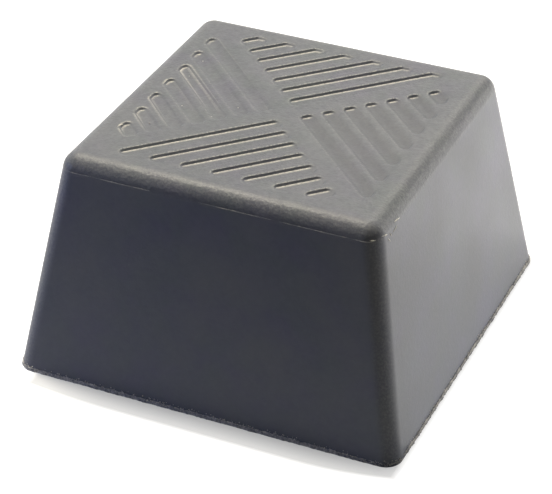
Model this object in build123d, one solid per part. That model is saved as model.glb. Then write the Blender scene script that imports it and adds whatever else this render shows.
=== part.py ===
"""Moulded rubber foot in one piece: a tapered block with grooves across its top face."""

import os
from math import atan, cos, degrees, radians, sqrt, tan

from build123d import *

os.makedirs("parts", exist_ok=True)

# Block, in millimetres. The two sides are those of the square before its edges are rounded.
BASE_SIDE = 75.0
TOP_SIDE = 60.0
HEIGHT = 43.0
EDGE_RADIUS = 3.2

# Tread: grooves at 45 degrees to the sides, in a field on each side of the top face
TREAD_MARGIN = 5.0
GROOVE_PITCH = 4.2
GROOVE_WIDTH = 2.5
GROOVE_DEPTH = 0.4
FIRST_GROOVE = 3.15
SMOOTH_BAND = 2.25

# Flash that the mould leaves, at its parting line and trimmed by hand round the base
PARTING_FLASH_REACH = 0.1
PARTING_FLASH_THICKNESS = 0.2
BASE_FLASH_REACH = 0.3
BASE_FLASH_THICKNESS = 0.5

# Shares that keep the rounding of a groove's floor and mouth in step with its depth
FLOOR_SHARE = 0.3
LIP_SHARE = 0.5

# The same field of grooves is turned to each side of the face, and its grooves follow the diagonal
FIELDS = 4
DIAGONAL = 45

taper = degrees(atan((BASE_SIDE - TOP_SIDE) / 2 / HEIGHT))
tread_reach = (TOP_SIDE / 2 - TREAD_MARGIN) * sqrt(2)


def side_at(level):
    """Side of the tapered square at a height above the base."""
    return BASE_SIDE - (BASE_SIDE - TOP_SIDE) * level / HEIGHT


def parting_level():
    """Height at which the rounded top edge runs into the tapered side."""
    edge_angle = 90 + taper
    tangent_length = EDGE_RADIUS / tan(radians(edge_angle / 2))
    return HEIGHT - tangent_length * cos(radians(taper))


def make_block():
    """Tapered square block, its corners and its top edge rounded by one radius."""
    block = extrude(Rectangle(BASE_SIDE, BASE_SIDE), amount=HEIGHT, taper=taper)
    _, corner_edges, top_edges = block.edges().group_by(Axis.Z)
    return fillet(corner_edges + top_edges, EDGE_RADIUS)


def make_flash(level, reach, thickness):
    """Thin rounded square plate whose rim stands proud of the block all round."""
    side = side_at(level) + 2 * reach
    outline = RectangleRounded(side, side, EDGE_RADIUS + reach)
    return Pos(0, 0, level) * extrude(outline, amount=thickness)


def groove_rows():
    """Distances of the grooves from the diagonal, for as long as one is longer than it is wide."""
    row = FIRST_GROOVE
    while tread_reach - row - SMOOTH_BAND > GROOVE_WIDTH:
        yield row
        row += GROOVE_PITCH


def make_groove(row):
    """Cutter for a groove along X: square at its inner end, cut along the face's side at the other."""
    near = row - GROOVE_WIDTH / 2
    far = row + GROOVE_WIDTH / 2
    outline = Polygon(
        (SMOOTH_BAND, near),
        (tread_reach - near, near),
        (tread_reach - far, far),
        (SMOOTH_BAND, far),
        align=None,
    )
    cutter = extrude(outline, amount=GROOVE_DEPTH)
    floor_edges = cutter.edges().group_by(Axis.Z)[0]
    cutter = fillet(floor_edges, FLOOR_SHARE * GROOVE_DEPTH)
    return Pos(0, 0, HEIGHT - GROOVE_DEPTH) * cutter


def cut_tread(block):
    """Cuts the same field of grooves on all sides of the top face and rounds their mouths."""
    field = [make_groove(row) for row in groove_rows()]
    for turn in range(FIELDS):
        placement = Rot(0, 0, turn * 360 / FIELDS - DIAGONAL)
        block -= [placement * groove for groove in field]
    top_face = block.faces().sort_by(Axis.Z)[-1]
    mouth_edges = [edge for wire in top_face.inner_wires() for edge in wire.edges()]
    return fillet(mouth_edges, LIP_SHARE * GROOVE_DEPTH)


foot = cut_tread(make_block())
parting_flash_low = parting_level() - PARTING_FLASH_THICKNESS / 2
foot += make_flash(parting_flash_low, PARTING_FLASH_REACH, PARTING_FLASH_THICKNESS)
foot += make_flash(0, BASE_FLASH_REACH, BASE_FLASH_THICKNESS)

export_step(foot, "parts/rubber_foot.step")
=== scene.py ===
"""Moulded rubber foot, dressed over its CAD solid. In metres, and the base rests on z = 0."""

import math

import bmesh
import bpy
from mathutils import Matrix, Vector


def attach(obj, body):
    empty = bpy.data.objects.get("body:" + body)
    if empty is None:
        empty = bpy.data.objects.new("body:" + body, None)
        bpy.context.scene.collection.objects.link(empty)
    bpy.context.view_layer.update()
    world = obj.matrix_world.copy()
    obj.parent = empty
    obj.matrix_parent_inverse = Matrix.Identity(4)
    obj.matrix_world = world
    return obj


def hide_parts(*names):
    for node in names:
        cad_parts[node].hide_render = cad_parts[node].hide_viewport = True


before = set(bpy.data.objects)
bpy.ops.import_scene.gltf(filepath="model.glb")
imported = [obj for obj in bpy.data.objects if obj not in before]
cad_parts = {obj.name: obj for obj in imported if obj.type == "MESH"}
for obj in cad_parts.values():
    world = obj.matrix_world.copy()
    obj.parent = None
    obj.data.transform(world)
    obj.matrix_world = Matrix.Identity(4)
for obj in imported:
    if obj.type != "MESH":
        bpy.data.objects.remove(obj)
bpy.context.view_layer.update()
bpy.context.scene.view_settings.view_transform = "Standard"

# Camera: to the right of the foot's front and above it, far off with a long lens, so that the
# block's sides lean together only a little. Its place was fitted to the outline in the photograph.
eye = Vector((0.140684, -0.319105, 0.238867))
aim = Vector((-0.001563, -0.000698, 0.014122))
lens = bpy.data.cameras.new("camera")
lens.lens = 143.9
lens.sensor_width = 36
camera = bpy.data.objects.new("camera", lens)
camera.location = eye
camera.rotation_euler = (aim - eye).to_track_quat("-Z", "Y").to_euler()
bpy.context.scene.collection.objects.link(camera)
bpy.context.scene.camera = camera

# Block: one lump of dark grey rubber, pressed hot in a steel mould whose walls lean in so that it
# slips out. A ball cutter rounded the mould's inner corners, so the four upright edges and the rim
# of the top have one radius, and where they meet is part of a ball.
base_side = 0.075
top_side = 0.060
height = 0.043
edge_radius = 0.0032
lean = math.atan((base_side - top_side) / 2 / height)
ball_top = height - edge_radius
edge_steps = 12
rim_steps = 12
# A narrow flat strip beside each rounding keeps its shading off the flat faces
flat_strip = 0.00015
wall_shares = (0, 0.004, 0.03, 0.12, 0.28, 0.46, 0.64, 0.8, 0.92, 0.985, 1)
side_shares = (0.006, 0.04, 0.13, 0.25, 0.37, 0.5, 0.63, 0.75, 0.87, 0.96, 0.994)
up = Vector((0, 0, 1))
outwards = [Vector((1, 0, 0)), Vector((0, 1, 0)), Vector((-1, 0, 0)), Vector((0, -1, 0))]


def side_normal(side):
    """The direction that a side's flat face looks in."""
    return outwards[side % 4] * math.cos(lean) + up * math.sin(lean)


def ball_centre(corner, level):
    """Where the ball's centre is at a level when it rolls down the mould's corner after a side."""
    reach = base_side / 2 - level * math.tan(lean) - edge_radius / math.cos(lean)
    return (outwards[corner % 4] + outwards[(corner + 1) % 4]) * reach + up * level


def wall_points(corner, normal):
    """One upright line of the skin: up the wall, over the rim and onto the flat of the top."""
    tangent_level = ball_top + edge_radius * normal.z
    for share in wall_shares:
        level = share * tangent_level
        yield ball_centre(corner, level - edge_radius * normal.z) + normal * edge_radius
    for step in range(1, rim_steps + 1):
        yield ball_centre(corner, ball_top) + normal.slerp(up, step / rim_steps) * edge_radius
    rim = ball_centre(corner, ball_top) + up * edge_radius
    yield rim - (outwards[corner % 4] + outwards[(corner + 1) % 4]) * flat_strip


def new_piece(name):
    """Puts a piece with an empty mesh into the scene."""
    piece = bpy.data.objects.new(name, bpy.data.meshes.new(name))
    bpy.context.scene.collection.objects.link(piece)
    return piece


skin = bmesh.new()
worn = skin.verts.layers.float.new("wear")
columns = []
wall_rows = len(wall_shares)
for side in range(4):
    normal = side_normal(side)
    left, right = list(wall_points(side + 3, normal)), list(wall_points(side, normal))
    for share in side_shares:
        columns.append(([a.lerp(b, share) for a, b in zip(left, right)], 0))
    for step in range(edge_steps + 1):
        across = normal.slerp(side_normal(side + 1), step / edge_steps)
        columns.append((list(wall_points(side, across)), math.sin(math.pi * step / edge_steps)))
rows = []
for points, on_edge in columns:
    row = []
    for place, point in enumerate(points):
        row.append(skin.verts.new(point))
        on_rim = math.sin(math.pi * max(0, place + 1 - wall_rows) / (rim_steps + 1))
        row[-1][worn] = max(on_rim, on_edge if place < wall_rows else 0, float(place == 0))
    rows.append(row)
for row, following in zip(rows, rows[1:] + rows[:1]):
    for low in range(len(row) - 1):
        skin.faces.new((row[low], following[low], following[low + 1], row[low + 1]))
skin.faces.new([row[0] for row in reversed(rows)])
bmesh.ops.remove_doubles(skin, verts=skin.verts, dist=1e-6)
bmesh.ops.dissolve_degenerate(skin, edges=skin.edges, dist=1e-7)
foot = new_piece("foot")
skin.to_mesh(foot.data)
skin.free()

# Rubber: dark grey, with the dull skin of a mould that was blasted, coarsely in its upper half and
# finely below the parting line. It is cloudy bluish and greenish where the mix wasn't even, greyer
# where it has been rubbed, and pale where dust sticks. The grey and the pale also paint highlights,
# a glint and light from the floor, the walls carry a painted bluish cast, and the right field's
# floors are darker.
rubber = bpy.data.materials.new("moulded rubber")
rubber.use_nodes = True
shade = rubber.node_tree
shade.nodes.clear()


def put(tree, kind, feed=None, **settings):
    """Adds a node. What feed holds is linked if it is a socket or a list of them, or else set."""
    made = tree.nodes.new(kind)
    for name, value in settings.items():
        setattr(made, name, value)
    for name, value in (feed or {}).items():
        if isinstance(value, bpy.types.NodeSocket):
            value = [value]
        if isinstance(value, list):
            for socket in value:
                tree.links.new(socket, made.inputs[name])
        else:
            made.inputs[name].default_value = value
    return made


def calc(tree, operation, *terms):
    """Works out one number from sockets and numbers."""
    feed = dict(enumerate(terms))
    return put(tree, "ShaderNodeMath", feed, operation=operation).outputs[0]


def mapped(tree, value, start, end, low=0, high=1, **settings):
    """Maps a value from one range to another, and holds it at that range's ends."""
    return put(tree, "ShaderNodeMapRange", {
        "Value": value, "From Min": start, "From Max": end, "To Min": low, "To Max": high},
        **settings).outputs[0]


def parted(tree, vector):
    """The coordinates of a place, by name."""
    return put(tree, "ShaderNodeSeparateXYZ", {0: vector}).outputs


def spread(noise, least, most, low=0, high=1):
    """Stretches the middle of a noise between two values."""
    return mapped(shade, noise.outputs["Fac"], least, most, low, high)


def blend(share, one, other, **settings):
    """Mixes two colours by a share."""
    feed = {0: share, 6: one, 7: other}
    return put(shade, "ShaderNodeMix", feed, data_type="RGBA", **settings).outputs[2]


def painted(name):
    """How much of an effect the geometry has asked for at a place."""
    return put(shade, "ShaderNodeAttribute", attribute_name=name).outputs["Fac"]


def textured(scale, **feed):
    """A cloudy pattern through the rubber."""
    return put(shade, "ShaderNodeTexNoise", {"Vector": spot, "Scale": scale, **feed})


spot = put(shade, "ShaderNodeTexCoord").outputs["Object"]
cloud = textured(60, Detail=4, Roughness=0.6)
tint = textured(130, Detail=3, Distortion=0.4)
grain = textured(2400, Detail=3, Roughness=0.7)
mottle = textured(900, Detail=4, Roughness=0.65)
pores = put(shade, "ShaderNodeTexVoronoi", {"Vector": spot, "Scale": 1500})
in_top_half = mapped(
    shade, parted(shade, spot)["Z"], ball_top, height - 0.75 * edge_radius, 0.3, 1)
# Painted light: below the rim the walls take the bluer tint of each pair, a painted cast of the
# bluish light that falls on them
bluish = blend(in_top_half, (0.110, 0.118, 0.190, 1), (0.121, 0.123, 0.162, 1))
greenish = blend(in_top_half, (0.104, 0.126, 0.165, 1), (0.114, 0.129, 0.143, 1))
hue = blend(spread(tint, 0.35, 0.65), bluish, greenish)
clouded = blend(spread(cloud, 0.3, 0.7), hue, (0.148, 0.157, 0.180, 1))
speckle = put(shade, "ShaderNodeCombineColor", {
    "Red": spread(mottle, 0.3, 0.7, 0.85, 1.15),
    "Green": spread(mottle, 0.3, 0.7, 0.86, 1.14),
    "Blue": spread(mottle, 0.3, 0.7, 0.88, 1.12)})
mottled = blend(in_top_half, clouded, speckle.outputs[0], blend_type="MULTIPLY")
# Darker towards the bottom of the right field's grooves
floor_darkening = calc(shade, "MULTIPLY", painted("fresh"), 0.5)
with_darker_floors = blend(floor_darkening, mottled, (0.088, 0.092, 0.11, 1))
# Edge wear, and on the tread's lips a painted highlight, both mix in the rubbed grey
wear = calc(shade, "MULTIPLY", painted("wear"), spread(grain, 0.42, 0.7, 0, 0.38))
rubbed_and_highlit = blend(wear, with_darker_floors, (0.33, 0.33, 0.32, 1))
# Dust, and painted highlights, a painted glint and painted light from the floor, all mix in the
# pale
dust = calc(shade, "MULTIPLY", painted("dust"), spread(grain, 0.35, 0.6, 0.35, 1))
dusted_and_highlit = blend(dust, rubbed_and_highlit, (0.78, 0.75, 0.69, 1))
pits = calc(shade, "MULTIPLY", pores.outputs["Distance"], 0.5)
bumps = calc(shade, "MULTIPLY", in_top_half, calc(shade, "ADD", grain.outputs["Fac"], pits))
relief = put(shade, "ShaderNodeBump", {"Strength": 1.0, "Distance": 0.00007, "Height": bumps})
surface = put(shade, "ShaderNodeBsdfPrincipled", {
    "Base Color": dusted_and_highlit, "IOR": 1.37, "Roughness": spread(cloud, 0.3, 0.7, 0.38, 0.47),
    "Normal": relief.outputs[0]})
put(shade, "ShaderNodeOutputMaterial", {"Surface": surface.outputs[0]})

# Tread: 28 shallow grooves pressed in with the block, in four three-cornered fields of seven. A
# field's grooves run at 45 degrees to the sides and start beside a smooth cross, and the further
# out a groove is, the shorter it gets, because its other end is cut along the edge of the top.
tread = bpy.data.node_groups.new("tread", "GeometryNodeTree")
tread_margin = 0.005
tread_sizes = {
    "Height": height,
    "Groove Width": 0.0025,
    "Groove Depth": 0.0004,
    "Wall Lean": 0.0003,
    "Groove Pitch": 0.0042,
    "First Groove": 0.00315,
    "Smooth Band": 0.00225,
    "Tread Reach": (top_side / 2 - tread_margin) * math.sqrt(2),
    "Rows": 7,
    "Floor Radius": 0.00015,
    "Lip Radius": 0.0002,
    "Corner Radius": 0.0006,
    "Rubbed Margin": 0.0003,
    "Dusty Strip": 0.0005,
    "Flat Strip": flat_strip,
    "Rubber": rubber,
}


def open_inputs(tree, sizes):
    """Opens a tree's named inputs, after the geometry, and returns their sockets by name."""
    kinds = {int: "NodeSocketInt", float: "NodeSocketFloat",
             bpy.types.Material: "NodeSocketMaterial"}
    shape = "NodeSocketGeometry"
    tree.interface.new_socket("Geometry", in_out="INPUT", socket_type=shape)
    for name, value in sizes.items():
        tree.interface.new_socket(name, in_out="INPUT", socket_type=kinds[type(value)])
    tree.interface.new_socket("Geometry", in_out="OUTPUT", socket_type=shape)
    return tree.nodes.new("NodeGroupInput").outputs


def placed(tree, **coordinates):
    """A place or a shift, from its coordinates."""
    return put(tree, "ShaderNodeCombineXYZ", coordinates).outputs[0]


def mark(tree, geometry, name, value, kind="FLOAT", domain="POINT"):
    """Writes a value into the geometry under a name."""
    return put(tree, "GeometryNodeStoreNamedAttribute", {
        "Geometry": geometry, "Name": name, "Value": value},
        data_type=kind, domain=domain).outputs[0]


def asked(tree, name, kind="FLOAT"):
    """Reads back what was written under a name."""
    feed = {"Name": name}
    return put(tree, "GeometryNodeInputNamedAttribute", feed, data_type=kind).outputs[0]


def hand_over(tree, geometry, spare=()):
    """Ends a tree: plain geometry in the given rubber, without the names that are spare."""
    kept = put(tree, "GeometryNodeRealizeInstances", {"Geometry": geometry}).outputs[0]
    for name in spare:
        kept = put(tree, "GeometryNodeRemoveAttribute", {"Geometry": kept, "Name": name}).outputs[0]
    feed = {"Geometry": kept, "Material": given["Rubber"]}
    covered = put(tree, "GeometryNodeSetMaterial", feed)
    put(tree, "NodeGroupOutput", {0: covered.outputs[0]})


def close_up(piece):
    """Merges a piece's seams, turns its faces outwards and smooths all but its sharp edges."""
    shape = bmesh.new()
    shape.from_mesh(piece.data)
    bmesh.ops.remove_doubles(shape, verts=shape.verts, dist=1e-6)
    bmesh.ops.recalc_face_normals(shape, faces=shape.faces)
    for face in shape.faces:
        face.smooth = True
    shape.to_mesh(piece.data)
    shape.free()
    piece.data.set_sharp_from_angle(angle=math.radians(40))


def make_with(piece, tree, sizes):
    """Gives the tree its sizes, and keeps what it makes of the piece as a plain, closed mesh."""
    modifier = piece.modifiers.new(tree.name, "NODES")
    modifier.node_group = tree
    for socket in tree.interface.items_tree:
        if socket.in_out == "INPUT" and socket.name in sizes:
            modifier[socket.identifier] = sizes[socket.name]
    ready = bpy.context.evaluated_depsgraph_get()
    made = bpy.data.meshes.new_from_object(
        piece.evaluated_get(ready), preserve_all_data_layers=True, depsgraph=ready)
    piece.modifiers.remove(modifier)
    while None in made.materials[:]:
        made.materials.pop(index=made.materials[:].index(None))
    piece.data = made
    close_up(piece)


given = open_inputs(tread, tread_sizes)
index = put(tread, "GeometryNodeInputIndex").outputs[0]
here = put(tread, "GeometryNodeInputPosition").outputs[0]
position = parted(tread, here)
inset = calc(tread, "ADD", given["Floor Radius"], calc(tread, "MULTIPLY", given["Wall Lean"], 0.5))
half_groove = calc(tread, "MULTIPLY", given["Groove Width"], 0.5)
half_width = calc(tread, "SUBTRACT", half_groove, inset)
near = calc(tread, "SUBTRACT", given["First Groove"], half_width)
far = calc(tread, "ADD", given["First Groove"], half_width)
inner = calc(tread, "ADD", given["Smooth Band"], inset)
slanted_inset = calc(tread, "MULTIPLY", inset, math.sqrt(2))
slanted = calc(tread, "SUBTRACT", given["Tread Reach"], slanted_inset)
floor_outline = put(tread, "GeometryNodeCurvePrimitiveQuadrilateral", {
    "Point 1": placed(tread, X=inner, Y=near),
    "Point 2": placed(tread, X=calc(tread, "SUBTRACT", slanted, near), Y=near),
    "Point 3": placed(tread, X=calc(tread, "SUBTRACT", slanted, far), Y=far),
    "Point 4": placed(tread, X=inner, Y=far),
}, mode="POINTS")
rounded_outline = put(tread, "GeometryNodeFilletCurve", {
    "Curve": floor_outline.outputs[0], "Count": 8, "Radius": given["Corner Radius"]}, mode="POLY")
level_outline = put(tread, "GeometryNodeSetCurveNormal", {
    "Curve": rounded_outline.outputs[0]}, mode="Z_UP")

# The groove's wall in section, from its floor up and over the lip. Its Y points down.
lip_level = calc(tread, "MULTIPLY", given["Groove Depth"], -1)
mouth_edge = calc(tread, "ADD", given["Floor Radius"], given["Wall Lean"])
lip_width = calc(tread, "ADD", given["Lip Radius"], given["Rubbed Margin"])
lip_end = calc(tread, "ADD", mouth_edge, lip_width)
floor_end = calc(tread, "MULTIPLY", given["Dusty Strip"], -1)
wall_line = put(tread, "GeometryNodeCurvePrimitiveQuadrilateral", {
    "Point 1": placed(tread, X=floor_end, Y=0),
    "Point 2": placed(tread, X=given["Floor Radius"], Y=0),
    "Point 3": placed(tread, X=mouth_edge, Y=lip_level),
    "Point 4": placed(tread, X=lip_end, Y=lip_level),
}, mode="POINTS")
open_line = put(tread, "GeometryNodeSetSplineCyclic", {
    "Geometry": wall_line.outputs[0], "Cyclic": False})
at_floor = put(tread, "FunctionNodeCompare", {2: index, 3: 1}, data_type="INT", operation="EQUAL")
bend = put(tread, "GeometryNodeSwitch", {
    0: at_floor.outputs[0], 1: given["Lip Radius"], 2: given["Floor Radius"]}, input_type="FLOAT")
section = put(tread, "GeometryNodeFilletCurve", {
    "Curve": open_line.outputs[0], "Count": 4, "Radius": bend.outputs[0]}, mode="POLY")
margin_end = calc(tread, "SUBTRACT", lip_end, given["Flat Strip"])
in_margin = calc(tread, "MULTIPLY", calc(tread, "GREATER_THAN", position["X"], mouth_edge),
                 calc(tread, "LESS_THAN", position["X"], margin_end))
corner_start = calc(tread, "MULTIPLY", given["Dusty Strip"], -0.5)
corner_end = calc(tread, "MULTIPLY", given["Floor Radius"], 0.6)
in_corner = calc(tread, "MULTIPLY", calc(tread, "GREATER_THAN", position["X"], corner_start),
                 calc(tread, "LESS_THAN", position["X"], corner_end))
marked_section = mark(tread, section.outputs[0], "in margin", in_margin)
marked_section = mark(tread, marked_section, "in corner", in_corner)
marked_section = mark(tread, marked_section, "across", position["X"])
facing = put(tread, "GeometryNodeInputNormal").outputs[0]
faced_outline = mark(tread, level_outline.outputs[0], "outward", facing, "FLOAT_VECTOR")
groove = put(tread, "GeometryNodeCurveToMesh", {
    "Curve": faced_outline, "Profile Curve": marked_section})

# Seven of them side by side, each a pitch further out and a pitch shorter at its slanted end
halfway = calc(tread, "MULTIPLY", calc(tread, "SUBTRACT", slanted, far), 0.5)
at_slant = calc(tread, "GREATER_THAN", position["X"], halfway)
row_line = put(tread, "GeometryNodeMeshLine", {
    "Count": given["Rows"], "Offset": placed(tread, X=0, Y=given["Groove Pitch"])})
rows_of_grooves = put(tread, "GeometryNodeInstanceOnPoints", {
    "Points": row_line.outputs[0],
    "Instance": mark(tread, groove.outputs[0], "slanted end", at_slant)})
numbered = mark(tread, rows_of_grooves.outputs[0], "row", index, "INT", "INSTANCE")
field_rows = put(tread, "GeometryNodeRealizeInstances", {"Geometry": numbered})
pitches_out = calc(tread, "MULTIPLY", asked(tread, "row", "INT"), asked(tread, "slanted end"))
shortened = calc(tread, "MULTIPLY", pitches_out, calc(tread, "MULTIPLY", given["Groove Pitch"], -1))
field = put(tread, "GeometryNodeSetPosition", {
    "Geometry": field_rows.outputs[0], "Offset": placed(tread, X=shortened, Y=0)})

# The field is let into the top and turned to its four sides
floor_level = calc(tread, "SUBTRACT", given["Height"], given["Groove Depth"])
sunk = put(tread, "GeometryNodeTransform", {
    "Geometry": field.outputs[0], "Translation": placed(tread, Z=floor_level),
    "Rotation": (0, 0, math.radians(-45))})
sides = put(tread, "GeometryNodeMeshLine", {"Count": 4, "Offset": (0, 0, 0)})
quarter = calc(tread, "MULTIPLY", index, math.pi / 2)
turned = put(tread, "GeometryNodeInstanceOnPoints", {
    "Points": sides.outputs[0], "Instance": sunk.outputs[0],
    "Rotation": placed(tread, Z=quarter)})
counted = mark(tread, turned.outputs[0], "field", index, "INT", "INSTANCE")
all_fields = put(tread, "GeometryNodeRealizeInstances", {"Geometry": counted})

# Painted highlights: the lips of walls that face one way along a diagonal are painted pale grey,
# those facing one way along the other diagonal less, and the floor at the foot of the first is
# painted pale. The walls facing along that other diagonal came out of the mould softer.
field_turn = calc(tread, "MULTIPLY", asked(tread, "field", "INT"), math.pi / 2)
outward = put(tread, "ShaderNodeVectorRotate", {
    "Vector": asked(tread, "outward", "FLOAT_VECTOR"),
    "Angle": calc(tread, "SUBTRACT", field_turn, math.pi / 4)}, rotation_type="Z_AXIS").outputs[0]


def lies(direction):
    """How squarely a wall lies on that side of its groove, from 0 to 1."""
    along = put(tread, "ShaderNodeVectorMath", {
        0: outward, 1: Vector(direction).normalized()}, operation="DOT_PRODUCT").outputs["Value"]
    return calc(tread, "POWER", calc(tread, "MAXIMUM", along, 0), 2)


highlit_facing = lies((-1, 1, 0))
other_highlit_facing = lies((-1, -1, 0))
square_to_diagonal = calc(tread, "ADD", highlit_facing, lies((1, -1, 0)))
soft_level = mapped(tread, asked(tread, "across"), floor_end, lip_end,
                    floor_level, given["Height"], interpolation_type="SMOOTHSTEP")
softening = calc(tread, "MULTIPLY", calc(tread, "SUBTRACT", soft_level, position["Z"]),
                 calc(tread, "SUBTRACT", 1, square_to_diagonal))
softened = put(tread, "GeometryNodeSetPosition", {
    "Geometry": all_fields.outputs[0], "Offset": placed(tread, Z=softening)})
# Painted highlight: how pale grey each lip is painted
lip_highlight = calc(tread, "ADD", calc(tread, "MULTIPLY", highlit_facing, 4.3),
               calc(tread, "MULTIPLY", calc(tread, "POWER", other_highlit_facing, 2), 1.5))
painted_lip_highlight = calc(tread, "MULTIPLY", asked(tread, "in margin"), lip_highlight)

# Pale marks at the outer ends of the left field: partly dust balled up there, partly painted
# highlights where light catches the groove ends
left_ends_start = -0.0205
left_ends_full = -0.0225
sideways = calc(tread, "ABSOLUTE", position["Y"])
in_left_field = calc(tread, "LESS_THAN", position["X"], calc(tread, "MULTIPLY", sideways, -1))
at_left_ends = calc(tread, "MULTIPLY", in_left_field, mapped(
    tread, position["X"], left_ends_start, left_ends_full))
end_patches = put(tread, "ShaderNodeTexNoise", {"Vector": here, "Scale": 800, "Detail": 2})
pale_left_ends = calc(tread, "MULTIPLY", at_left_ends, mapped(
    tread, end_patches.outputs["Fac"], 0.5, 0.64))
in_either = calc(tread, "ADD", asked(tread, "in corner"), asked(tread, "in margin"))
# Painted highlight: the pale on the floor at the foot of the first walls
painted_corner_highlight = calc(tread, "MULTIPLY", asked(tread, "in corner"), calc(tread, "MULTIPLY", highlit_facing, 0.9))
left_end_dust_and_highlight = calc(tread, "MULTIPLY", in_either, calc(tread, "MULTIPLY", pale_left_ends, 0.6))
dust_and_highlights = calc(tread, "ADD", painted_corner_highlight, left_end_dust_and_highlight)
worn_fields = mark(tread, softened.outputs[0], "wear", painted_lip_highlight)
worn_fields = mark(tread, worn_fields, "dust", dust_and_highlights)

# What stays open, the floors and the top between the lips and the rim, is closed with flat faces
open_parts = put(tread, "GeometryNodeJoinGeometry", {"Geometry": [worn_fields, given["Geometry"]]})
faces_beside = put(tread, "GeometryNodeInputMeshEdgeNeighbors").outputs[0]
at_opening = put(tread, "FunctionNodeCompare", {
    2: faces_beside, 3: 1}, data_type="INT", operation="EQUAL").outputs[0]
half_depth = calc(tread, "MULTIPLY", given["Groove Depth"], 0.5)
middle_level = calc(tread, "SUBTRACT", given["Height"], half_depth)
flats = []
for side_of_middle, flat_level in (("LESS_THAN", floor_level), ("GREATER_THAN", given["Height"])):
    on_side = calc(tread, side_of_middle, position["Z"], middle_level)
    outlines = put(tread, "GeometryNodeMeshToCurve", {
        "Mesh": open_parts.outputs[0], "Selection": calc(tread, "MULTIPLY", at_opening, on_side)})
    flat = put(tread, "GeometryNodeFillCurve", {"Curve": outlines.outputs[0]}, mode="TRIANGLES")
    flats.append(put(tread, "GeometryNodeTransform", {
        "Geometry": flat.outputs[0], "Translation": placed(tread, Z=flat_level)}).outputs[0])
whole = put(tread, "GeometryNodeJoinGeometry", {
    "Geometry": [given["Geometry"], worn_fields, *flats]})
plain = put(tread, "GeometryNodeRealizeInstances", {"Geometry": whole.outputs[0]})

# The floors of the right field are darker, the more so the deeper they lie
right_field_end = 0.0262
in_right_field = calc(tread, "MULTIPLY", calc(tread, "GREATER_THAN", position["X"], sideways),
                      calc(tread, "LESS_THAN", position["X"], right_field_end))
depth_share = mapped(tread, position["Z"], floor_level, given["Height"], 1, 0)
darkened = mark(tread, plain.outputs[0], "fresh",
                calc(tread, "MULTIPLY", in_right_field, depth_share))
hand_over(tread, darkened, spare=(
    "row", "slanted end", "field", "outward", "in margin", "in corner", "across"))
foot.data.materials.append(rubber)
make_with(foot, tread, tread_sizes)
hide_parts("rubber_foot")
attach(foot, "root")

# Parting flash: a hair of rubber that crept between the mould's two halves, all round the block
# where the rim's rounding begins. It is one with the block, uneven, and torn off in places.
parting = bpy.data.node_groups.new("parting flash", "GeometryNodeTree")
parting_level = ball_top + edge_radius * math.sin(lean)
parting_half = base_side / 2 - parting_level * math.tan(lean)
parting_sizes = {
    "Level": parting_level,
    "Side": 2 * parting_half,
    "Edge Radius": edge_radius,
    "Bead Radius": 0.00008,
    "Unevenness": 0.0001,
    "Step": 0.0002,
    "Rubber": rubber,
}
given = open_inputs(parting, parting_sizes)


def loop_round(tree):
    """A closed line in small steps, square with rounded corners, that follows the block round."""
    square = put(tree, "GeometryNodeCurvePrimitiveQuadrilateral", {
        "Width": given["Side"], "Height": given["Side"]}, mode="RECTANGLE")
    rounded = put(tree, "GeometryNodeFilletCurve", {
        "Curve": square.outputs[0], "Count": 12, "Radius": given["Edge Radius"]}, mode="POLY")
    return put(tree, "GeometryNodeResampleCurve", {
        "Curve": rounded.outputs[0], "Length": given["Step"]}, mode="LENGTH").outputs[0]


def scaled(tree, vector, factor):
    """A vector made longer or shorter."""
    feed = {0: vector, "Scale": factor}
    return put(tree, "ShaderNodeVectorMath", feed, operation="SCALE").outputs[0]


# On the right side the bead has worn off. A tag of it is left beside the front corner, and is
# painted pale there as a painted glint.
worn_from = parting_half - 0.0016
worn_to = parting_half - 0.0002
tag_place = (worn_from, -parting_half, 0)
spot = put(parting, "GeometryNodeInputPosition").outputs[0]
waves = put(parting, "ShaderNodeTexNoise", {
    "Vector": spot, "Scale": 260, "Detail": 4, "Roughness": 0.7})
breaks = put(parting, "ShaderNodeTexNoise", {
    "Vector": spot, "Scale": 70, "Detail": 2, "Distortion": 0.5})
torn = mapped(parting, breaks.outputs["Fac"], 0.36, 0.5, -1.4, 0)
worn_off = mapped(parting, parted(parting, spot)["X"], worn_from, worn_to, 0, -1.6)
from_tag = put(parting, "ShaderNodeVectorMath", {
    0: spot, 1: tag_place}, operation="DISTANCE").outputs["Value"]
tag_and_glint = mapped(parting, from_tag, 0.0004, 0.003, 1, 0)
ripple = calc(parting, "SUBTRACT", waves.outputs["Fac"], 0.5)
loss = calc(parting, "ADD", torn, worn_off)
swing = calc(parting, "ADD", ripple, calc(
    parting, "ADD", loss, calc(parting, "MULTIPLY", tag_and_glint, 0.5)))
straight_out = put(parting, "ShaderNodeVectorMath", {0: spot}, operation="NORMALIZE").outputs[0]
shift = scaled(parting, straight_out, calc(parting, "MULTIPLY", swing, given["Unevenness"]))
uneven = put(parting, "GeometryNodeSetPosition", {
    "Geometry": loop_round(parting), "Offset": shift})
bead_round = put(parting, "GeometryNodeCurvePrimitiveCircle", {
    "Resolution": 6, "Radius": given["Bead Radius"]}, mode="RADIUS")
bead = put(parting, "GeometryNodeCurveToMesh", {
    "Curve": uneven.outputs[0], "Profile Curve": bead_round.outputs[0]})
raised = put(parting, "GeometryNodeTransform", {
    "Geometry": bead.outputs[0], "Translation": placed(parting, Z=given["Level"])})
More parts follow.
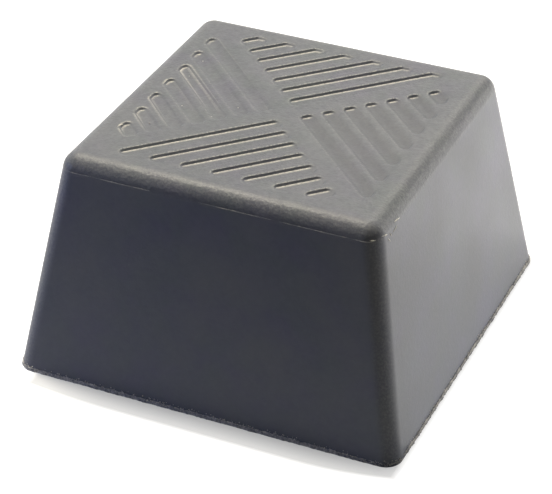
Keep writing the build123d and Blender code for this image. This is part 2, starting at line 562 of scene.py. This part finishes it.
# Dust in patches along the bead; on the tag, a painted glint
pale_places = put(parting, "ShaderNodeTexNoise", {"Vector": spot, "Scale": 420, "Detail": 2})
patchy_dust = mapped(parting, pale_places.outputs["Fac"], 0.4, 0.7, 0.05, 0.5)
hand_over(parting, mark(
    parting, raised.outputs[0], "dust", calc(parting, "ADD", tag_and_glint, patchy_dust)))
parting_flash = new_piece("parting_flash")
make_with(parting_flash, parting, parting_sizes)
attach(parting_flash, "root")

# Base flash: the thicker squeeze-out round the mould's mouth, cut back with a knife and left
# ragged, as a low lip along the foot of the walls that stands out most at the front corner.
trimming = bpy.data.node_groups.new("base flash", "GeometryNodeTree")
trimming_sizes = {
    "Side": base_side,
    "Edge Radius": edge_radius,
    "Lip Height": 0.0007,
    "Lip Reach": 0.00012,
    "Depth In Wall": 0.0005,
    "Raggedness": 0.00025,
    "Corner Reach": 0.00013,
    "Step": 0.00014,
    "Rubber": rubber,
}
given = open_inputs(trimming, trimming_sizes)


def lip_corner(outward, upward):
    """A corner of the lip's section, whose upward side points down the profile's own Y."""
    return placed(trimming, X=outward, Y=calc(trimming, "MULTIPLY", upward, -1))


flat_mouth = put(trimming, "GeometryNodeSetCurveNormal", {
    "Curve": loop_round(trimming)}, mode="Z_UP")
facing = put(trimming, "GeometryNodeInputNormal").outputs[0]
aimed = mark(trimming, flat_mouth.outputs[0], "outward", facing, "FLOAT_VECTOR")
buried = calc(trimming, "MULTIPLY", given["Depth In Wall"], -1)
lip_section = put(trimming, "GeometryNodeCurvePrimitiveQuadrilateral", {
    "Point 1": lip_corner(buried, 0),
    "Point 2": lip_corner(buried, given["Lip Height"]),
    "Point 3": lip_corner(0, given["Lip Height"]),
    "Point 4": lip_corner(given["Lip Reach"], 0),
}, mode="POINTS")
fine_section = put(trimming, "GeometryNodeResampleCurve", {
    "Curve": lip_section.outputs[0], "Length": given["Step"]}, mode="LENGTH")
spot = put(trimming, "GeometryNodeInputPosition").outputs[0]
position = parted(trimming, spot)
in_wall = calc(trimming, "MULTIPLY", buried, 0.4)
outside = mark(trimming, fine_section.outputs[0], "outside",
               calc(trimming, "GREATER_THAN", position["X"], in_wall))
lip = put(trimming, "GeometryNodeCurveToMesh", {"Curve": aimed, "Profile Curve": outside})

# The knife's chatter, in bites of about a millimetre with finer tears in them
front_corner = (base_side / 2 - 0.001, -base_side / 2 + 0.001, 0)
bites = put(trimming, "ShaderNodeTexNoise", {
    "Vector": spot, "Scale": 700, "Detail": 4, "Roughness": 0.75})
tears = put(trimming, "ShaderNodeTexNoise", {
    "Vector": spot, "Scale": 2300, "Detail": 2, "Distortion": 1.0})
bite = calc(trimming, "MULTIPLY", calc(trimming, "SUBTRACT", bites.outputs["Fac"], 0.5), 2.2)
tear = calc(trimming, "MULTIPLY", calc(trimming, "SUBTRACT", tears.outputs["Fac"], 0.5), 1.6)
chatter = calc(trimming, "ADD", bite, tear)
ragged_by = calc(trimming, "MULTIPLY", chatter, given["Raggedness"])
to_corner = put(trimming, "ShaderNodeVectorMath", {
    0: spot, 1: front_corner}, operation="DISTANCE").outputs["Value"]
at_corner = mapped(
    trimming, to_corner, 0.002, 0.008, 1, 0, interpolation_type="SMOOTHSTEP")
corner_reach = calc(trimming, "MULTIPLY", at_corner, given["Corner Reach"])
reach = calc(trimming, "MULTIPLY", asked(trimming, "outside"), calc(
    trimming, "ADD", ragged_by, corner_reach))
most_reach = calc(trimming, "MULTIPLY", given["Lip Reach"], 1.4)
inward = calc(trimming, "MULTIPLY", calc(trimming, "MINIMUM", reach, most_reach), -1)
share_up = calc(trimming, "DIVIDE", position["Z"], given["Lip Height"])
lift = calc(trimming, "MULTIPLY", share_up, ragged_by)
ragged = put(trimming, "GeometryNodeSetPosition", {
    "Geometry": lip.outputs[0],
    "Offset": put(trimming, "ShaderNodeVectorMath", {
        0: scaled(trimming, asked(trimming, "outward", "FLOAT_VECTOR"), inward),
        1: placed(trimming, Z=lift)}, operation="ADD").outputs[0]})
# The lip is pale partly with dust in its tears and partly as painted light from the bright floor
# beside it
lip_dust_and_light = mapped(trimming, chatter, -0.35, 0.5, 0.2, 1.6)
hand_over(trimming, mark(trimming, ragged.outputs[0], "dust", lip_dust_and_light),
          spare=("outward", "outside"))
base_flash = new_piece("base_flash")
make_with(base_flash, trimming, trimming_sizes)
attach(base_flash, "root")

# Crumbs: bits of rubber that the knife smeared on the lowest millimetre of the walls, and that have
# stuck there, some pale with dust and with painted light from the floor, and some dark.
crumbling = bpy.data.node_groups.new("crumbs", "GeometryNodeTree")
crumb_sizes = {
    "Crumbs Per Area": 3.0e7,
    "Crumb Radius": 0.00013,
    "Band Height": 0.0012,
    "Seed": 11,
    "Rubber": rubber,
}
given = open_inputs(crumbling, crumb_sizes)
spot = put(crumbling, "GeometryNodeInputPosition").outputs[0]
patches = put(crumbling, "ShaderNodeTexNoise", {"Vector": spot, "Scale": 240, "Detail": 2})
thick = mapped(crumbling, patches.outputs["Fac"], 0.38, 0.62)
low = mapped(crumbling, parted(crumbling, spot)["Z"], 0, given["Band Height"], 1, 0)
density = calc(crumbling, "MULTIPLY", given["Crumbs Per Area"], calc(
    crumbling, "MULTIPLY", thick, low))
scattered = put(crumbling, "GeometryNodeDistributePointsOnFaces", {
    "Mesh": given["Geometry"], "Density": density, "Seed": given["Seed"]},
    distribute_method="RANDOM")


def chance(kind, least, most):
    """A number or a direction that differs from crumb to crumb."""
    first, result = (0, 0) if kind == "FLOAT_VECTOR" else (2, 1)
    return put(crumbling, "FunctionNodeRandomValue", {
        first: least, first + 1: most, "Seed": given["Seed"]}, data_type=kind).outputs[result]


lumpy = chance("FLOAT_VECTOR", (0.6, 0.6, 0.5), (1.5, 1.1, 1.0))
any_turn = chance("FLOAT_VECTOR", (0, 0, 0), (math.pi, math.pi, math.pi))
crumb = put(crumbling, "GeometryNodeMeshIcoSphere", {
    "Radius": given["Crumb Radius"], "Subdivisions": 1})
crumbs_there = put(crumbling, "GeometryNodeInstanceOnPoints", {
    "Points": scattered.outputs[0], "Instance": crumb.outputs[0], "Rotation": any_turn,
    "Scale": scaled(crumbling, lumpy, chance("FLOAT", 0.35, 1.0))})
# Pale partly with dust and partly as painted light from the floor
crumb_dust_and_light = calc(crumbling, "MAXIMUM", chance("FLOAT", -0.5, 2.2), 0)
dusty_and_lit = mark(crumbling, crumbs_there.outputs[0], "dust", crumb_dust_and_light, domain="INSTANCE")
hand_over(crumbling, dusty_and_lit, spare=("id",))
band = bmesh.new()
for (one, _), (two, _) in zip(columns, columns[1:] + columns[:1]):
    foot_of_wall = [one[1], two[1], two[2], one[2]]
    if (one[1] - two[1]).length > 1e-6:
        band.faces.new([band.verts.new(point) for point in foot_of_wall])
crumbs = new_piece("crumbs")
band.to_mesh(crumbs.data)
band.free()
make_with(crumbs, crumbling, crumb_sizes)
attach(crumbs, "root")

# Scuffs: shreds of rubber and flash that stand up pale where the foot was knocked by its top front
# corner, one of them painted pale as a painted glint at the parting line's end, and dust balls on
# the left part of the tread, those at the grooves' outer ends partly painted highlights.
scuffing = bpy.data.node_groups.new("scuffs", "GeometryNodeTree")
scuff_sizes = {
    "Shred Radius": 0.00012,
    "Top Level": height - 0.00001,
    "Unevenness": 0.00015,
    "Step": 0.0001,
    "Rubber": rubber,
}
given = open_inputs(scuffing, scuff_sizes)
spot = put(scuffing, "GeometryNodeInputPosition").outputs[0]
shreds = put(scuffing, "GeometryNodeMeshToCurve", {"Mesh": given["Geometry"]})
fine_shreds = put(scuffing, "GeometryNodeResampleCurve", {
    "Curve": shreds.outputs[0], "Length": given["Step"]}, mode="LENGTH")
wander = put(scuffing, "ShaderNodeTexNoise", {"Vector": spot, "Scale": 1900, "Detail": 2})
either_way = put(scuffing, "ShaderNodeVectorMath", {
    0: wander.outputs["Color"], 1: (0.5, 0.5, 0.5)}, operation="SUBTRACT").outputs[0]
crooked = put(scuffing, "GeometryNodeSetPosition", {
    "Geometry": fine_shreds.outputs[0],
    "Offset": scaled(scuffing, either_way, given["Unevenness"])})
along = put(scuffing, "GeometryNodeSplineParameter").outputs["Factor"]
from_ends = calc(scuffing, "MULTIPLY", along, calc(scuffing, "SUBTRACT", 1, along))
taper = calc(scuffing, "MULTIPLY", from_ends, 3)
lumps = put(scuffing, "ShaderNodeTexNoise", {"Vector": spot, "Scale": 3800, "Detail": 1})
bulge = calc(scuffing, "MULTIPLY", taper, calc(scuffing, "ADD", lumps.outputs["Fac"], 0.4))
shred_round = put(scuffing, "GeometryNodeCurvePrimitiveCircle", {
    "Resolution": 7, "Radius": given["Shred Radius"]}, mode="RADIUS")
torn_up = put(scuffing, "GeometryNodeCurveToMesh", {
    "Curve": crooked.outputs[0], "Profile Curve": shred_round.outputs[0],
    "Scale": calc(scuffing, "ADD", 0.25, bulge), "Fill Caps": True})
room_above = calc(scuffing, "SUBTRACT", given["Top Level"], parted(scuffing, spot)["Z"])
over_top = calc(scuffing, "MINIMUM", 0, room_above)
pressed = put(scuffing, "GeometryNodeSetPosition", {
    "Geometry": torn_up.outputs[0],
    "Offset": placed(scuffing, Z=calc(scuffing, "MULTIPLY", over_top, 0.999))})
hand_over(scuffing, mark(scuffing, pressed.outputs[0], "dust", 1.3))

# Where each shred or ball of dust lies, in millimetres, from one end to the other
shred_lines = (
    ((30.32, -23.25, 40.83), (30.4, -22.1, 40.63), (30.45, -20.9, 40.34)),
    ((30.12, -28.4, 40.8), (30.34, -27.7, 40.68), (30.46, -26.6, 40.32)),
    ((30.58, -26.6, 39.61), (30.76, -25.9, 38.53)),
    ((30.52, -25.6, 39.98), (30.67, -25.0, 39.09)),
    ((30.6, -24.4, 39.51), (30.58, -23.4, 39.56), (30.55, -22.4, 39.78)),
    # Painted glint: this shred at the end of the parting line is pale for a glint
    ((28.7, -30.1, 40.56), (29.15, -29.84, 40.58), (29.55, -29.45, 40.55)),
    # At the left grooves' outer ends: dust balls, partly painted highlights
    ((-25.9, -17.6, 42.93), (-25.6, -18.5, 42.93), (-24.8, -18.9, 42.93)),
    ((-25.5, -16.9, 42.93), (-25.4, -16.1, 42.93), (-24.9, -15.6, 42.93)),
    ((-25.4, -13.9, 42.93), (-25.1, -13.1, 42.93)),
    ((-25.5, -9.4, 42.93), (-25.0, -8.7, 42.93)),
    ((-21.7, -15.8, 42.6), (-21.4, -15.5, 42.6)),
    ((-22.4, 6.0, 42.6), (-22.2, 6.2, 42.6)),
    ((-18.4, -5.2, 42.93), (-18.2, -5.1, 42.93)),
    ((-21.2, -12.9, 42.6), (-20.9, -12.8, 42.6)),
    ((-22.6, 12.4, 42.6), (-22.5, 12.6, 42.6)),
    ((-8.8, -1.7, 42.93), (-8.6, -1.6, 42.93)),
    ((-12.4, -0.1, 42.6), (-12.2, 0.0, 42.6)),
    ((-11.9, -6.6, 42.8), (-11.7, -6.3, 42.8)),
)
scuff_points = []
scuff_edges = []
for line in shred_lines:
    first = len(scuff_points)
    scuff_points += [Vector(point) / 1000 for point in line]
    scuff_edges += [(first + step, first + step + 1) for step in range(len(line) - 1)]
scuffs = new_piece("scuffs")
scuffs.data.from_pydata(scuff_points, scuff_edges, [])
make_with(scuffs, scuffing, scuff_sizes)
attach(scuffs, "root")

# Studio: white paper in a white room that is in shade behind the camera. Lamps stand high on the
# left and behind, light comes up from the table on the right, and a small bluish lamp lights the
# front. The paper glows white; before the foot a painted shadow strip darkens it over the real
# shadow, painted light whitens the shadows beside and behind the foot, and painted shade dims it
# far in front in reflections.
paper = bpy.data.materials.new("white paper")
paper.use_nodes = True
sheet = paper.node_tree
sheet.nodes.clear()
strip_tone = 0.57
painted_shadow_tone = -0.24
painted_front_light = 0.36
painted_side_light = 0.45
right_bend_depth = 0.0024
left_bend_depth = 0.0018
ray = put(sheet, "ShaderNodeLightPath").outputs
mirrored = calc(sheet, "MAXIMUM", ray["Is Glossy Ray"], ray["Is Transmission Ray"])
seen = calc(sheet, "MAXIMUM", ray["Is Camera Ray"], mirrored)
lit = put(sheet, "ShaderNodeBsdfDiffuse", {"Color": (0.36, 0.36, 0.36, 1)})
on_sheet = parted(sheet, put(sheet, "ShaderNodeTexCoord").outputs["Object"])

# The painted shadow strip's outer edge bends in towards the foot at both ends
right_bend = calc(sheet, "POWER", mapped(sheet, on_sheet["X"], 0.02, base_side / 2), 2)
left_bend = calc(sheet, "POWER", mapped(sheet, on_sheet["X"], -0.016, -base_side / 2), 2)
bent_in = calc(sheet, "ADD", calc(sheet, "MULTIPLY", right_bend, right_bend_depth),
               calc(sheet, "MULTIPLY", left_bend, left_bend_depth))
ahead = calc(sheet, "SUBTRACT", on_sheet["Y"], bent_in)
between_ends = calc(sheet, "MULTIPLY", mapped(sheet, on_sheet["X"], -0.0345, -0.0325),
                    mapped(sheet, on_sheet["X"], 0.0345, 0.038, 1, 0))
before_front = calc(sheet, "MULTIPLY", calc(
    sheet, "LESS_THAN", on_sheet["Y"], -0.036), between_ends)
# Painted shadow: the glow is lowered in the strip before the foot, most next to it
painted_contact_shadow = calc(sheet, "MULTIPLY", before_front, mapped(
    sheet, ahead, -0.0412, -base_side / 2, 0, painted_shadow_tone))
# Painted light: beyond the strip, and beside and behind the foot, the glow is raised, which whitens
# its shadows there
open_front = mapped(sheet, ahead, -0.0424, -0.0416, painted_front_light, 0)
open_right = mapped(sheet, on_sheet["X"], 0.0372, 0.0386, 0, painted_side_light)
open_left = mapped(sheet, on_sheet["X"], -0.0345, -0.0325, painted_side_light, 0)
open_back = mapped(sheet, on_sheet["Y"], 0.036, 0.038, 0, painted_side_light)
open_sides = calc(sheet, "MAXIMUM", open_right, calc(sheet, "MAXIMUM", open_left, open_back))
tone = calc(sheet, "ADD", calc(sheet, "ADD", strip_tone, painted_contact_shadow), calc(
    sheet, "MAXIMUM", open_front, open_sides))
# Painted shade: far in front the paper is dimmed for all rays but the camera's, so the foot
# reflects it darker
far_front = calc(sheet, "MAXIMUM", mapped(
    sheet, on_sheet["Y"], -0.12, -0.072, 0.1, 1), ray["Is Camera Ray"])
glow = put(sheet, "ShaderNodeEmission", {
    "Color": (1, 1, 0.995, 1),
    "Strength": calc(sheet, "MULTIPLY", seen, calc(sheet, "MULTIPLY", tone, far_front))})
both = put(sheet, "ShaderNodeAddShader", {0: lit.outputs[0], 1: glow.outputs[0]})
put(sheet, "ShaderNodeOutputMaterial", {"Surface": both.outputs[0]})
floor = new_piece("floor")
floor.data.from_pydata([(-3, -3, 0), (3, -3, 0), (3, 3, 0), (-3, 3, 0)], [], [(0, 1, 2, 3)])
floor.data.materials.append(paper)

world = bpy.data.worlds.new("white room")
world.use_nodes = True
room = world.node_tree
room.nodes.clear()
ray = put(room, "ShaderNodeLightPath").outputs
looking = parted(room, put(room, "ShaderNodeTexCoord").outputs["Generated"])
behind_camera = mapped(room, looking["Y"], -0.5, 0.1, 0.15, 1)
mirrored = calc(room, "MAXIMUM", ray["Is Glossy Ray"], ray["Is Transmission Ray"])
shown = calc(room, "MAXIMUM", ray["Is Camera Ray"], calc(
    room, "MULTIPLY", behind_camera, mirrored))
background = put(room, "ShaderNodeBackground", {
    "Color": (1, 1, 1, 1), "Strength": mapped(room, shown, 0, 1, 0.02, 1)})
put(room, "ShaderNodeOutputWorld", {"Surface": background.outputs[0]})
bpy.context.scene.world = world

warm = (1, 0.96, 0.91)
middle = (0, 0, 0.02)
for name, stand, target, size, power, colour in (
    ("high left lamp", (-0.227, 0.136, 0.614), middle, (0.16, 0.16), 4.8, (1, 0.925, 0.76)),
    ("back right lamp", (0.361, 0.535, 0.080), middle, (0.3, 0.15), 0.8, (1, 0.96, 0.89)),
    ("back lamp", (0.0, 0.483, 0.455), middle, (0.3, 0.3), 1.5, (1, 0.95, 0.84)),
    ("floor panel", (0.218, 0.25, 0.0001), (0.218, 0.25, 1), (0.36, 0.41), 0.86, warm),
    ("near floor panel", (0.118, 0.0075, 0.0001), (0.118, 0.0075, 1), (0.16, 0.075), 0.033, warm),
    ("front left lamp", (-0.2, -0.12, 0.07), (-0.03, -0.03, 0.015), (0.08, 0.08), 0.06,
     (0.64, 0.84, 1.7)),
):
    lamp_data = bpy.data.lights.new(name, "AREA")
    lamp_data.shape = "RECTANGLE"
    lamp_data.size, lamp_data.size_y = size
    lamp_data.energy = power
    lamp_data.color = colour
    lamp = bpy.data.objects.new(name, lamp_data)
    lamp.location = stand
    lamp.rotation_euler = (Vector(target) - Vector(stand)).to_track_quat("-Z", "Y").to_euler()
    lamp.visible_camera = False
    bpy.context.scene.collection.objects.link(lamp)
